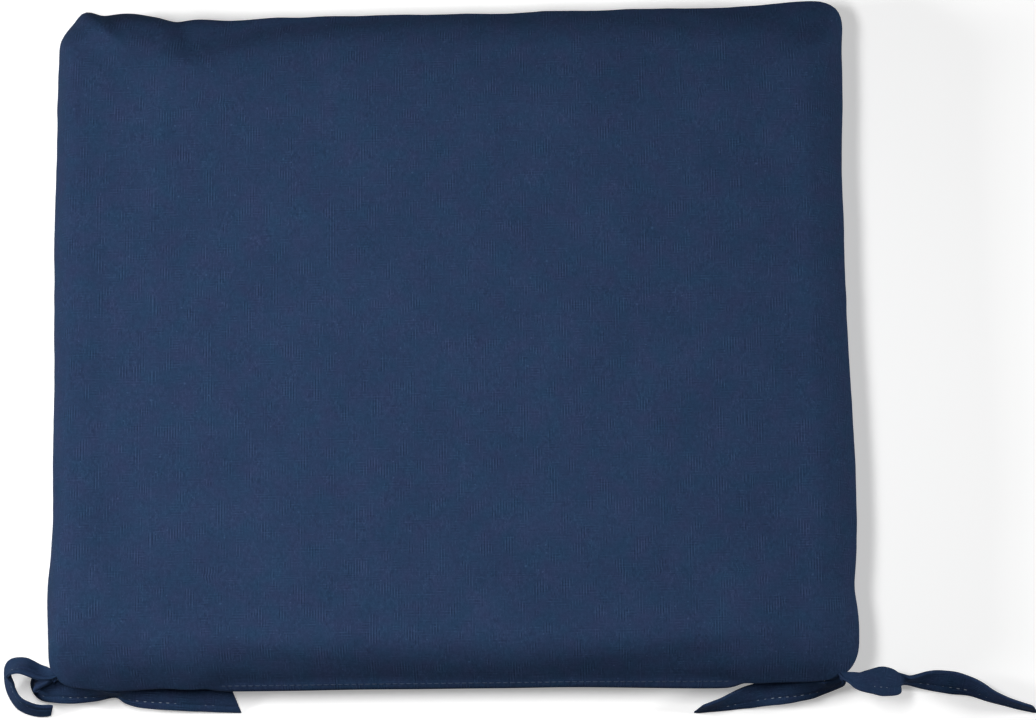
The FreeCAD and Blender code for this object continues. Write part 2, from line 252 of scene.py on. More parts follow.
def slub_canvas(name, dark, middle, light):
    """Plain-weave canvas: every yarn has its own tone, which drifts along it as the yarn thickens."""
    s = Shader(name)
    place = s.node("ShaderNodeUVMap", uv_map="weave").outputs[0]
    axes = s.node("ShaderNodeSeparateXYZ")
    s.feed(axes.inputs[0], s.scaled(place, (1 / YARN, 1 / YARN, 1)))
    across, along = axes.outputs[0], axes.outputs[1]
    warp_yarn, weft_yarn = s.math("FLOOR", across), s.math("FLOOR", along)
    over = s.math("PINGPONG", s.math("ADD", warp_yarn, weft_yarn), 1.0)
    under = s.math("SUBTRACT", 1.0, over)

    def yarn_tone(yarn, travel, layer):
        """Tone about 0 of one set of yarns, unrelated from yarn to yarn and drifting along each."""
        yarn_place = s.math("MULTIPLY", yarn, YARN_STEP)
        spot = s.joined(yarn_place, s.math("MULTIPLY", travel, TONE_DRIFT), layer)
        return s.math("SUBTRACT", s.cloud(spot, 1.0), 0.5)

    def rib_shade(place_over_yarns, patch):
        """Painted highlight and shade of ribs lit from the side: lighter and darker yarns side by side,
        inside small patches only.
        """
        wave = s.math("SINE", s.math("MULTIPLY", place_over_yarns, math.pi))
        return s.math("MULTIPLY", wave, s.remap(patch, 0.54, 0.68, 0, 0.5))

    def arch(place_over_yarns):
        """How high a yarn stands over its width, from 0 at its edges to 1 along its middle."""
        return s.math("SINE", s.math("MULTIPLY", s.math("FRACT", place_over_yarns), math.pi))

    # The warp's tone shows most in some patches, and the weft's in the others.
    warp_tone = yarn_tone(warp_yarn, along, WARP_LAYER)
    weft_tone = yarn_tone(weft_yarn, across, WEFT_LAYER)
    patch = s.cloud(s.scaled(place, TONE_PATCHES))
    warp_share = s.math("MULTIPLY", s.remap(patch, 0.4, 0.66, 0.3, 1.0), s.remap(over, 0, 1, 0.6, 1))
    weft_share = s.math("MULTIPLY", s.remap(patch, 0.3, 0.55, 0.55, 0.2), s.remap(under, 0, 1, 0.4, 1))
    warp_part = s.math("MULTIPLY", warp_tone, warp_share)
    slub = s.math("ADD", warp_part, s.math("MULTIPLY", weft_tone, weft_share))
    # Painted highlight and shade of side-lit ribs, across the warp and along it.
    warp_rib_shade = rib_shade(across, s.cloud(s.scaled(place, WARP_RIB_PATCHES), 1.0))
    weft_rib_shade = rib_shade(along, s.cloud(s.scaled(place, WEFT_RIB_PATCHES), 1.0))
    slub = s.math("ADD", slub, s.math("MULTIPLY", warp_rib_shade, WARP_RIB_SHADE))
    slub = s.math("ADD", slub, s.math("MULTIPLY", weft_rib_shade, WEFT_RIB_SHADE))

    # The height of the yarn on top, from 0 between yarns to 1.
    arch_x = arch(across)
    arch_y = arch(along)
    warp_float = s.math("MULTIPLY", s.math("SQRT", arch_x), s.remap(arch_y, 0, 1, 0.6, 1))
    weft_float = s.math("MULTIPLY", s.math("SQRT", arch_y), s.remap(arch_x, 0, 1, 0.5, 0.9))
    warp_height = s.math("MULTIPLY", over, warp_float)
    woven = s.math("ADD", warp_height, s.math("MULTIPLY", under, weft_float))

    # Everything that lightens or darkens the cloth, about 0.5.
    shade = s.cloud(s.scaled(place, SHADE_PATCHES), 3.0)
    fibre = s.cloud(s.scaled(place, FIBRES))
    fleck = s.cloud(s.scaled(place, FLECKS), 0.0)
    tone = s.math("ADD", slub, 0.5)
    tone = s.math("ADD", tone, s.remap(shade, 0.3, 0.7, -0.05, 0.05))
    # Painted shade: the cloth is darker in the gaps between yarns and lighter on their tops.
    tone = s.math("ADD", tone, s.remap(woven, 0.0, 1.0, -0.14, 0.06))
    tone = s.math("ADD", tone, s.remap(fleck, 0.82, 0.86, 0.0, 0.6))
    tone = s.math("ADD", tone, s.remap(fibre, 0.3, 0.7, -0.04, 0.04))
    colours = s.node("ShaderNodeValToRGB")
    ramp = colours.color_ramp
    ramp.elements[0].position = 0.2
    ramp.elements[0].color = (*dark, 1)
    ramp.elements[1].position = 0.8
    ramp.elements[1].color = (*light, 1)
    ramp.elements.new(0.5).color = (*middle, 1)
    s.feed(colours.inputs[0], tone)
    dye = s.remap(s.cloud(s.scaled(place, DYE_PATCHES)), 0.3, 0.7, 0, 1)
    s.feed(s.surface.inputs["Base Color"], s.tinted(colours.outputs[0], s.mix(dye, GREENISH, REDDISH)))

    s.feed(s.surface.inputs["Roughness"], s.remap(woven, 0, 1, 0.96, 0.84))
    s.surface.inputs["Specular IOR Level"].default_value = 0.08
    yarns = s.bump(woven, YARN_RELIEF, 0.5)
    s.feed(s.surface.inputs["Normal"], s.bump(slub, SLUB_RELIEF, 0.6, yarns))
    return s.material


# A ply's spacing round and along the thread, and its relief, in metres.
PLY_ROUND = 0.45 * MM
PLY_ALONG = 0.8 * MM
PLY_RELIEF = 0.06 * MM
# Features per metre of the thread's fuzz and of its darker patches.
FUZZ = (4000, 2500, 1)
THREAD_DARK_PATCHES = (60, 60, 60)


def sewing_thread(name, dark, light):
    """Two-ply polyester thread, with its twist as slanting ridges, darker in some patches."""
    s = Shader(name)
    place = s.node("ShaderNodeUVMap", uv_map="weave").outputs[0]
    axes = s.node("ShaderNodeSeparateXYZ")
    s.feed(axes.inputs[0], s.scaled(place, (1 / PLY_ROUND, 1 / PLY_ALONG, 1)))
    slant = s.math("FRACT", s.math("ADD", axes.outputs[0], axes.outputs[1]))
    ply = s.math("SINE", s.math("MULTIPLY", slant, math.pi))
    fuzz = s.cloud(s.scaled(place, FUZZ))
    # The thread is darker in some patches, about 2 cm across.
    spots = s.scaled(s.node("ShaderNodeTexCoord").outputs["Object"], THREAD_DARK_PATCHES)
    patch_tone = s.remap(s.cloud(spots, 0.0), 0.4, 0.65, 0.5, 1)
    # Painted shade: the thread is darker in the grooves between its plies.
    tone = s.math("MULTIPLY", s.remap(ply, 0, 1, 0.45, 1), s.remap(fuzz, 0.3, 0.7, 0.8, 1))
    tone = s.math("MULTIPLY", tone, patch_tone)
    s.feed(s.surface.inputs["Base Color"], s.mix(tone, (*dark, 1), (*light, 1)))
    s.feed(s.surface.inputs["Roughness"], s.remap(fuzz, 0.3, 0.7, 0.5, 0.68))
    s.surface.inputs["Specular IOR Level"].default_value = 0.35
    s.feed(s.surface.inputs["Normal"], s.bump(ply, PLY_RELIEF, 0.6))
    return s.material


CANVAS = slub_canvas(
    "slub_canvas", (0.0125, 0.0255, 0.0620), (0.0195, 0.0400, 0.0930), (0.0310, 0.0600, 0.1310)
)
# The ties' canvas is the pad's canvas painted about a tenth darker, as shade.
SHADED_TIE_CANVAS = slub_canvas(
    "tie_slub_canvas", (0.0110, 0.0225, 0.0560), (0.0175, 0.0360, 0.0840), (0.0290, 0.0560, 0.1220)
)
TOPSTITCH = sewing_thread("navy_topstitch_thread", (0.013, 0.027, 0.062), (0.028, 0.053, 0.108))
TIE_THREAD = sewing_thread("pale_tie_thread", (0.04, 0.065, 0.12), (0.40, 0.46, 0.55))

# ---------------------------------------------------------------------------------------------
# The cover: two panels that meet at the seam, made as one closed grid

CORNER_RADIUS = 18.0
# How far in from the seam each side takes to rise to its full height. The front left corner, which
# stands out like an ear, rises more steeply within its reach.
ROLL_LEFT = 16.0
ROLL_RIGHT = 26.0
ROLL_FRONT = 61.0
ROLL_BACK = 30.0
EAR_STEEPER = 0.7
EAR_REACH = 75
ROLL_EXPONENT = 0.88
# The rise of each panel from the seam, the extra in the middle of the top and over the whole bottom,
# and the share of its rise that the roll loses at a corner.
PANEL_RISE = 23.6
CROWN = 1.4
UNDERSIDE_CROWN = 0.4
CORNER_SINK = 0.08
# Share of the roll's spare cloth that spreads out on the flat cloth, less within reach of a corner.
FLAT_SPREAD = 0.6
FLAT_CORNER_REACH = 45
# How far away on the flat cloth the bottom panel lies from the top one, so that their weaves differ.
BOTTOM_AWAY = 900
CELLS_X = 90
CELLS_Y = 78
# The loops from the seam in to the middle grid's border, as level distances from the seam. RING_COUNT
# leaves out these two.
ROLL_BAND = 62.0
RINGS = [0, 0.5, 1.3, 2.6, 4.6, 7.2, 10.4, 14.2, 18.6, 23.4, 28.6, 34.2, 40.2, 46.8, 54.0, ROLL_BAND]
RING_COUNT = len(RINGS) - 2

# Where the seam line leaves the rounded rectangle: x, y, reach, and how far out (or in, negative).
SEAM_SHIFTS = [
    (20, FRONT, 150, -0.4),
    (-165, FRONT, 7, -3.4),
    (-130, FRONT, 18, -2.0),
    (-196, FRONT, 20, 4.0),
    (-218.5, FRONT, 4.0, 6.6),
    (-209, FRONT, 5, -1.5),
    (-231, 196, 8, -0.8),
    (-236, 170, 24, 0.2),
    (64, FRONT, 12, 0.6),
    (120, FRONT, 60, 0.9),
    (212, FRONT, 34, 3.2),
    (231, 199, 10, 3.4),
    (HALF_WIDTH, 155, 36, 1.5),
    (HALF_WIDTH, 60, 90, -0.4),
    (HALF_WIDTH, -80, 70, 2.7),
    (-HALF_WIDTH, 80, 60, 1.0),
    (-HALF_WIDTH, -108, 26, -1.3),
    (-HALF_WIDTH, -150, 30, 2.6),
    (HALF_WIDTH, -149, 10, -1.8),
    (HALF_WIDTH, -170, 18, 1.6),
    (-184, BACK, 36, 2.6),
    (-200, BACK, 16, 1.5),
    (-150, BACK, 13, 2.9),
    (-229, -196, 9, 1.0),
    (202, BACK, 28, 3.2),
    (173, BACK, 13, 2.4),
    (-60, BACK, 60, -0.7),
]

# Small waves, as amount, scale and seed: of the seam line, of the gathers along it, and of the top.
SEAM_WAVES = [(0.5, 34, 1), (0.3, 13, 2)]
GATHERS = [(0.45, 9, 7), (0.5, 22, 8)]
LUMPS = [(0.5, 70, 3), (0.22, 28, 4)]

# Dents pressed into the roll of the top: x, y, half width, half length, turn in degrees, depth.
TOP_DENTS = [
    (-181, 186, 10, 14, 0, 1.7),
    (-150, 188, 16, 14, 6, 0.9),
    (-140, 196, 10, 18, -20, 0.9),
    (-80, 172, 7, 30, 12, 0.9),
    (56, 184, 8, 22, -10, 1.0),
    (150, 186, 7, 20, 6, 1.0),
    (108, 190, 12, 18, 14, 0.6),
    (205, 186, 9, 18, -24, 0.7),
    (-186, -176, 10, 26, 24, 1.0),
    (-120, -178, 14, 18, -10, 0.6),
    (20, -180, 18, 14, 8, 0.5),
    (120, -178, 12, 18, -6, 0.6),
    (196, -176, 9, 24, -22, 0.9),
    (222, -120, 16, 9, 0, 0.6),
    (218, -160, 22, 9, 14, 0.8),
]


def waves(points, parts):
    """The sum of several ripples at each point."""
    return sum(amount * ripple(points, scale, seed) for amount, scale, seed in parts)


def seam_line():
    """The seam's points and outward directions, walking round from the back left corner."""
    quarter = CORNER_RADIUS * math.pi / 4

    def side(run, half_length, half_reach):
        """Points along one side seen with its outside downwards: along, and out from the middle."""
        straight = half_length - CORNER_RADIUS
        travel = run * (straight + quarter)
        turned = np.clip(np.abs(travel) - straight, 0, None) / CORNER_RADIUS
        along = np.sign(travel) * (np.minimum(np.abs(travel), straight) + CORNER_RADIUS * np.sin(turned))
        return along, half_reach - CORNER_RADIUS * (1 - np.cos(turned))

    back_x, back_out = side(np.linspace(-1, 1, CELLS_X + 1), HALF_WIDTH, HALF_DEPTH)
    right_y, right_out = side(np.linspace(-1, 1, CELLS_Y + 1), HALF_DEPTH, HALF_WIDTH)
    x = np.concatenate([back_x[:-1], right_out[:-1], back_x[:0:-1], -right_out[:0:-1]])
    y = np.concatenate([-back_out[:-1], right_y[:-1], back_out[:0:-1], right_y[:0:-1]])
    line = np.stack([x, y + MIDDLE_Y], axis=1)
    ahead = np.roll(line, -1, axis=0) - np.roll(line, 1, axis=0)
    outward = np.stack([ahead[:, 1], -ahead[:, 0]], axis=1)
    outward /= np.linalg.norm(outward, axis=1)[:, None]
    shift = np.zeros(len(line))
    for x0, y0, reach, amount in SEAM_SHIFTS:
        shift += amount * bell(np.hypot(line[:, 0] - x0, line[:, 1] - y0), 0, reach)
    shift += waves(np.column_stack([line, np.zeros(len(line))]), SEAM_WAVES)
    return line + outward * shift[:, None], outward


def inner_run(run, half_reach, half_seam):
    """Places along the middle grid for an even run along the seam, closer near the corners."""
    straight = half_seam - CORNER_RADIUS
    travel = straight + CORNER_RADIUS * math.pi / 4
    return run * travel - (travel - half_reach) * run * np.abs(run)


def middle_grid():
    """A panel's middle grid: its level places, their numbers, and its border in the seam's order."""
    grid_x = inner_run(np.linspace(-1, 1, CELLS_X + 1), HALF_WIDTH - ROLL_BAND, HALF_WIDTH)
    grid_y = inner_run(np.linspace(-1, 1, CELLS_Y + 1), HALF_DEPTH - ROLL_BAND, HALF_DEPTH) + MIDDLE_Y
    plan = np.stack(np.meshgrid(grid_x, grid_y, indexing="ij"), axis=-1).reshape(-1, 2)
    index = np.arange(len(plan)).reshape(CELLS_X + 1, CELLS_Y + 1)
    border = np.concatenate([index[:-1, 0], index[-1, :-1], index[:0:-1, -1], index[0, :0:-1]])
    return plan, index, border


def roll_reach(seam, outward):
    """How far in the cover takes to rise to its full height, at each place along the seam."""
    roll_side = np.where(outward[:, 0] > 0, ROLL_RIGHT, ROLL_LEFT)
    roll_end = np.where(outward[:, 1] > 0, ROLL_FRONT, ROLL_BACK)
    from_ear = np.hypot(seam[:, 0] + HALF_WIDTH, seam[:, 1] - FRONT)
    roll_end = roll_end * (1 - EAR_STEEPER * bell(from_ear, 0, EAR_REACH))
    return roll_side * outward[:, 0] ** 2 + roll_end * outward[:, 1] ** 2


def roll_rise(inset, reach):
    """Height of a panel above the seam at a level distance in from it, as a share of its rise."""
    share = np.clip(1 - inset / reach, 0, 1)
    return (1 - share**2) ** ROLL_EXPONENT


def cloth_run(reach):
    """Length of cloth from the seam to each ring."""
    fine = np.linspace(0, ROLL_BAND, 400)
    rise = PANEL_RISE * roll_rise(fine, reach)
    steps = np.hypot(np.diff(fine), np.diff(rise))
    return np.interp(RINGS, fine, np.concatenate([[0], np.cumsum(steps)]))


def ring_level(inset, seam, plan, border):
    """Level places of the ring at that distance in, between the seam and the middle grid's border."""
    share = inset / ROLL_BAND
    return seam * (1 - share) + plan[border] * share


def panel_points(sign, seam, outward, reach, plan, border):
    """One panel's points, 1 for the top and -1 for the bottom: its middle grid, then its rings."""
    crown = CROWN * np.clip(1 - (plan[:, 0] / HALF_WIDTH) ** 2, 0, 1)
    crown *= np.clip(1 - ((plan[:, 1] - MIDDLE_Y) / HALF_DEPTH) ** 2, 0, 1)
    if sign < 0:
        crown[:] = UNDERSIDE_CROWN
    cornered = 4 * outward[:, 0] ** 2 * outward[:, 1] ** 2
    points = [np.column_stack([plan, SEAM_HEIGHT + sign * (PANEL_RISE + crown)])]
    for inset in RINGS[RING_COUNT:0:-1]:
        sunk = 1 - CORNER_SINK * cornered * (1 - inset / ROLL_BAND)
        rise = PANEL_RISE * roll_rise(inset, reach) * sunk
        points.append(np.column_stack([ring_level(inset, seam, plan, border), SEAM_HEIGHT + sign * rise]))
    return np.concatenate(points)


def flat_places(seam, outward, run, plan, border):
    """Where a panel's points and its seam lie on the flat cloth, which is longer than the level grid."""
    from_corner = np.hypot(np.abs(seam[:, 0]) - HALF_WIDTH, np.abs(seam[:, 1] - MIDDLE_Y) - HALF_DEPTH)
    spread = FLAT_SPREAD * (1 - bell(from_corner, 0, FLAT_CORNER_REACH))
    places = [plan]
    for ring in range(RING_COUNT, 0, -1):
        spare = (run[:, -1] - run[:, ring]) - (ROLL_BAND - RINGS[ring])
        places.append(ring_level(RINGS[ring], seam, plan, border) + outward * (spread * spare)[:, None])
    seam_places = seam + outward * (spread * (run[:, -1] - ROLL_BAND))[:, None]
    return np.concatenate([*places, seam_places])


def panel_faces(sign, base, index, loops):
    """One panel's faces, as point numbers: its middle grid, then the bands between its loops."""
    quads = []
    for i in range(CELLS_X):
        for j in range(CELLS_Y):
            quads.append([index[i, j], index[i + 1, j], index[i + 1, j + 1], index[i, j + 1]])
    quads = [[base + corner for corner in quad] for quad in quads]
    following = np.roll(np.arange(len(loops[0])), -1)
    for inner, outer in zip(loops, loops[1:]):
        quads += np.stack([inner, outer, outer[following], inner[following]], axis=1).tolist()
    return [[int(corner) for corner in quad][::sign] for quad in quads]


def make_cover():
    """The closed grid before any simulation, and what later steps need to know about it."""
    seam, outward = seam_line()
    plan, index, border = middle_grid()
    reach = roll_reach(seam, outward)
    run = np.array([cloth_run(r) for r in reach])
    around = len(border)
    half = len(plan) + RING_COUNT * around
    seam_start = 2 * half
    places_flat = flat_places(seam, outward, run, plan, border)
    points, faces, places, loops = [], [], [], {}
    for sign, base, away in ((1, 0, 0), (-1, half, BOTTOM_AWAY)):
        points.append(panel_points(sign, seam, outward, reach, plan, border))
        rings = [base + len(plan) + step * around + np.arange(around) for step in range(RING_COUNT)]
        loops[sign] = [base + border, *rings, seam_start + np.arange(around)]
        for face in panel_faces(sign, base, index, loops[sign]):
            faces.append(face)
            for corner in face:
                spot = corner - base if corner < seam_start else corner - seam_start + half
                places.append(places_flat[spot] + away)
    points.append(np.column_stack([seam, np.full(around, SEAM_HEIGHT)]))
    cover = mesh_object("cover", np.concatenate(points), faces, CANVAS)
    set_weave_map(cover, places)
    return cover, {"loops": loops, "outward": outward, "run": run, "seam": seam}


def coordinates(piece):
    """A piece's points as rows, in millimetres."""
    values = np.empty(len(piece.data.vertices) * 3)
    piece.data.vertices.foreach_get("co", values)
    return values.reshape(-1, 3) / MM


def move_points(piece, points):
    """Puts a piece's points at those places, in millimetres."""
    piece.data.vertices.foreach_set("co", (points * MM).ravel())
    piece.data.update()


# The simulation, in Blender's cloth units. Of each point's move, at most MOST_MOVE millimetres count,
# and then only KEPT_SHARE of it is kept.
PRESSURE = 4.0
FRAMES = 20
CLOTH_MASS = 0.25
STRETCH_STIFFNESS = 18
SHEAR_STIFFNESS = 6
BENDING_STIFFNESS = 1.5
SEAM_SHRINK = 0.012
FOAM_HOLD = 0.7
MOST_MOVE = 5.0
KEPT_SHARE = 0.3
# The reach, in places along the seam, over which the broad pull is averaged.
BROAD_STEPS = 6.0


def inflate(cover, layout):
    """Cloth simulation: the filling pushes the cover out, and the sewn seam draws up along its line."""
    before = coordinates(cover)
    inset = np.full(len(before), 1.0)
    for chain in layout["loops"].values():
        for ring, loop in enumerate(reversed(chain)):
            inset[loop] = RINGS[ring] / ROLL_BAND
    held = cover.vertex_groups.new(name="held_by_foam")
    drawn = cover.vertex_groups.new(name="drawn_up")
    for vertex, share in enumerate(inset):
        held.add([vertex], float(FOAM_HOLD * ease(share, 0.3, 0.9)), "REPLACE")
        drawn.add([vertex], float(1 - ease(share, 0.03, 0.2)), "REPLACE")
    cloth = cover.modifiers.new("cloth", "CLOTH")
    settings = cloth.settings
    settings.quality = 6
    settings.mass = CLOTH_MASS
    settings.tension_stiffness = STRETCH_STIFFNESS
    settings.compression_stiffness = STRETCH_STIFFNESS
    settings.shear_stiffness = SHEAR_STIFFNESS
    settings.bending_stiffness = BENDING_STIFFNESS
    settings.use_pressure = True
    settings.uniform_pressure_force = PRESSURE
    settings.vertex_group_mass = held.name
    settings.pin_stiffness = 1.0
    settings.vertex_group_shrink = drawn.name
    settings.shrink_min = 0.0
    settings.shrink_max = SEAM_SHRINK
    settings.effector_weights.gravity = 0
    cloth.collision_settings.use_collision = False
    scene = bpy.context.scene
    for step in range(1, FRAMES + 1):
        scene.frame_set(step)
    graph = bpy.context.evaluated_depsgraph_get()
    inflated = cover.evaluated_get(graph).to_mesh()
    values = np.empty(len(inflated.vertices) * 3)
    inflated.vertices.foreach_get("co", values)
    after = values.reshape(-1, 3) / MM
    cover.evaluated_get(graph).to_mesh_clear()
    cover.modifiers.clear()
    cover.vertex_groups.clear()
    scene.frame_set(1)
    move = after - before
    length = np.linalg.norm(move, axis=1)
    move *= (KEPT_SHARE * np.minimum(length, MOST_MOVE) / np.maximum(length, 1e-6))[:, None]
    keep_outline(move, layout)
    move_points(cover, before + move)


def keep_outline(move, layout):
    """Takes the broad inward pull out of the moves, so that only small gathers change the outline."""
    outward = layout["outward"]
    pull = np.sum(move[layout["loops"][1][-1]][:, :2] * outward, axis=1)
    around = len(pull)
    steps = (np.arange(around) + around // 2) % around - around // 2
    weights = bell(steps, 0, BROAD_STEPS)
    broad = np.real(np.fft.ifft(np.fft.fft(pull) * np.fft.fft(weights / weights.sum())))
    for sign, chain in layout["loops"].items():
        for ring, loop in enumerate(reversed(chain)):
            if ring == 0 and sign < 0:
                continue
            fade = 1 - ease(RINGS[ring], 8, ROLL_BAND)
            move[loop, :2] -= outward * (broad * fade)[:, None]


LIP_START, LIP_END = -140.0, 165.0
LIP_TAPER = 5
LIP_HALF_THICKNESS = 1.6
LIP_SLOPE = 1.1
# Length of cloth over which the lip's edge is rounded, and how far up the cover the lip has a say.
LIP_ROUND = 0.9
LIP_SAY = 3.2 * LIP_DEPTH
# How deep the stitched seam sinks in, and how fast its gathers die out up the cover.
SEAM_GROOVE = 1.1
GATHER_REACH = 9.0
# The underside is pressed flat: what is below UNDERSIDE_TOP is squashed down towards UNDERSIDE_LOW.
UNDERSIDE_LOW = 0.15
UNDERSIDE_TOP = 1.2
UNDERSIDE_SQUASH = 0.35


def lip_share(x):
    """1 along the closing lip, and 0 beyond its ends."""
    start = ease(x, LIP_START - LIP_TAPER, LIP_START + LIP_TAPER)
    return start * (1 - ease(x, LIP_END - LIP_TAPER, LIP_END + LIP_TAPER))


def lip_wave(x):
    """How far the lip's edge wanders out, more towards its right end, and up along the back."""
    line = along_line(x)
    return 0.35 * ripple(line, 42, 5) + 1.8 * ease(x, 60, 150), 0.4 * ripple(line, 55, 6)


def press_top(points):
    """Dents and soft lumps in the top. They fade out down the roll, before the seam."""
    for x0, y0, half_width, half_length, turn, depth in TOP_DENTS:
        angle = math.radians(turn)
        across = (points[:, 0] - x0) * math.cos(angle) + (points[:, 1] - y0) * math.sin(angle)
        along = (points[:, 1] - y0) * math.cos(angle) - (points[:, 0] - x0) * math.sin(angle)
        dent = depth * bell(across, 0, half_width) * bell(along, 0, half_length)
        points[:, 2] -= dent * ease(points[:, 2], SEAM_HEIGHT + 2, SEAM_HEIGHT + 14)
    points[:, 2] += waves(points, LUMPS) * ease(points[:, 2], SEAM_HEIGHT + 4, SEAM_HEIGHT + 18)


def fold_lip(column, cloth, sign, wander, lift):
    """How a panel's points at one place along the back move, from the seam in, to make the lip."""
    near = cloth < LIP_SAY
    last = cloth[near][-1]
    wall = np.clip((cloth - LIP_DEPTH) * last / (last - LIP_DEPTH), 0, None)
    moved = np.column_stack([np.interp(wall, cloth, column[:, axis]) for axis in range(3)])
    flat = cloth <= LIP_DEPTH
    edge = LIP_EDGE - wander
    moved[flat, 1] = edge + cloth[flat] * (BACK - edge) / LIP_DEPTH
    body = np.sqrt(np.clip(cloth[flat] / LIP_ROUND, 0, 1))
    droop = LIP_SLOPE * (LIP_DEPTH - cloth[flat])
    moved[flat, 2] = SEAM_HEIGHT + lift - droop + sign * LIP_HALF_THICKNESS * body
    just_above = ~flat & near
    rise = sign * (moved[just_above, 2] - SEAM_HEIGHT)
    moved[just_above, 2] = SEAM_HEIGHT + sign * np.maximum(rise, LIP_HALF_THICKNESS)
    return (moved - column) * near[:, None]


def sew_edge(points, layout):
    """Gathers along the seam, the closing lip, and the groove that the stitches draw in."""
    outward, run = layout["outward"], layout["run"]
    along_seam = np.concatenate([[0], np.cumsum(np.hypot(*np.diff(layout["seam"], axis=0).T))])
    for sign, chain in layout["loops"].items():
        rings = chain[::-1]
        stack = np.array([points[ring] for ring in rings])
        gathers = waves(along_line(along_seam, 50.0 * sign), GATHERS)
        for ring in range(1, len(rings)):
            fade = math.exp(-run[:, ring].mean() / GATHER_REACH)
            stack[ring, :, :2] += outward * (gathers * fade)[:, None]
        wander, lift = lip_wave(stack[0, :, 0])
        share = lip_share(stack[0, :, 0]) * (outward[:, 1] < -0.9)
        for place in np.flatnonzero(share > 0):
            change = fold_lip(stack[:, place], run[place], sign, wander[place], lift[place])
            stack[:, place] += change * share[place]
        if sign > 0:
            stack[0, :, :2] -= outward * (SEAM_GROOVE * (1 - share))[:, None]
        for ring, loop in enumerate(rings):
            points[loop] = stack[ring]


def finish_cover(cover, layout):
    """Everything that is sewn or pressed into the cover after it has been filled."""
    points = coordinates(cover)
    press_top(points)
    sew_edge(points, layout)
    points[:, 2] = np.maximum(points[:, 2], UNDERSIDE_LOW)
    underside = points[:, 2] < UNDERSIDE_TOP
    points[underside, 2] = UNDERSIDE_LOW + UNDERSIDE_SQUASH * (points[underside, 2] - UNDERSIDE_LOW)
    move_points(cover, points)
    subdivide(cover)


cover, cover_layout = make_cover()
inflate(cover, cover_layout)
finish_cover(cover, cover_layout)
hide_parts("top_panel", "bottom_panel", "top_wadding", "bottom_wadding", "foam_core", "seam_thread")
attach(cover, "pad")

# ---------------------------------------------------------------------------------------------
# Stitches

STITCH_AROUND = 8
STITCH_ROWS = 7
# The share of a stitch's height that its ends sink into the cloth, and how much they taper: 0 is square.
STITCH_SINK = 0.5
STITCH_TAPER = 0.4

CLOSING_PITCH = 4.0
CLOSING_LENGTH = 3.0
CLOSING_WIDTH = 0.62
CLOSING_HEIGHT = 0.5
# How far in from the lip's edge the closing stitches run, and how far above its face.
CLOSING_INSET = 3.3
CLOSING_PROUD = 0.12


def stitch_row(name, places, length, width, height, material):
    """Separate thread floats in one mesh. Each place is a middle, a direction, a normal and a size."""
    points, faces, marks = [], [], []
    for middle, direction, normal, size in places:
        direction = Vector(direction).normalized()
        normal = Vector(normal).normalized()
        side = normal.cross(direction).normalized()
        normal = direction.cross(side)
        faces += tube_faces(STITCH_ROWS, STITCH_AROUND, len(points))
        for row in range(STITCH_ROWS + 1):
            share = row / STITCH_ROWS
            travel = (share - 0.5) * length
            body = math.sin(math.pi * min(max(share, 0.02), 0.98)) ** STITCH_TAPER
            sink = -STITCH_SINK * height * abs(2 * share - 1) ** 3
            for step in range(STITCH_AROUND):
                angle = 2 * math.pi * step / STITCH_AROUND
                offset = side * (math.cos(angle) * width / 2 * body * size)
                offset += normal * (math.sin(angle) * height / 2 * body * size + sink)
                points.append(Vector(middle) + direction * travel + offset)
                marks.append((angle * width / 2, travel))
    made = mesh_object(name, points, faces, material)
    set_weave_map(made, [marks[corner] for face in made.data.polygons for corner in face.vertices])
    return made


def closing_stitches():
    """The topstitch rows on the lip's two faces."""
    middles = np.arange(LIP_START + 3, LIP_END - 2, CLOSING_PITCH)
    wander, lift = lip_wave(middles)
    places = []
    for face in (1, -1):
        for x, out, up in zip(middles, wander, lift):
            y = LIP_EDGE + CLOSING_INSET - 0.4 * out
            z = SEAM_HEIGHT + up - LIP_SLOPE * 0.7 + face * (LIP_HALF_THICKNESS + CLOSING_PROUD)
            places.append(((x, y, z), (1, 0.03 * out, 0), (0, -LIP_SLOPE * face, face), 1))
    row = stitch_row("closing_topstitch", places, CLOSING_LENGTH, CLOSING_WIDTH, CLOSING_HEIGHT, TOPSTITCH)
    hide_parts("closure_stitching")
    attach(row, "pad")


closing_stitches()

# ---------------------------------------------------------------------------------------------
# Ties

TIE_WIDTH = 16.0
TIE_HALF_THICKNESS = 0.85
PATH_STEP = 1.5
# How uneven a tail is: its edges, its thickness, and the crumples of its faces.
EDGE_WAVE = 0.35
SWELL = 0.12
CRUMPLE = 0.28
# The lengths over which its cut end slants and closes.
SLANT_LENGTH = 12
CLOSING_END = 1.2
# Its stitches, and how far out they run as a share of its half width.
STITCH_SHARE = 0.4
TIE_STITCH_START = 14
TIE_STITCH_PITCH = 4.4
TIE_STITCH_LENGTH = 2.2
TIE_STITCH_WIDTH = 0.45
TIE_STITCH_HEIGHT = 0.55

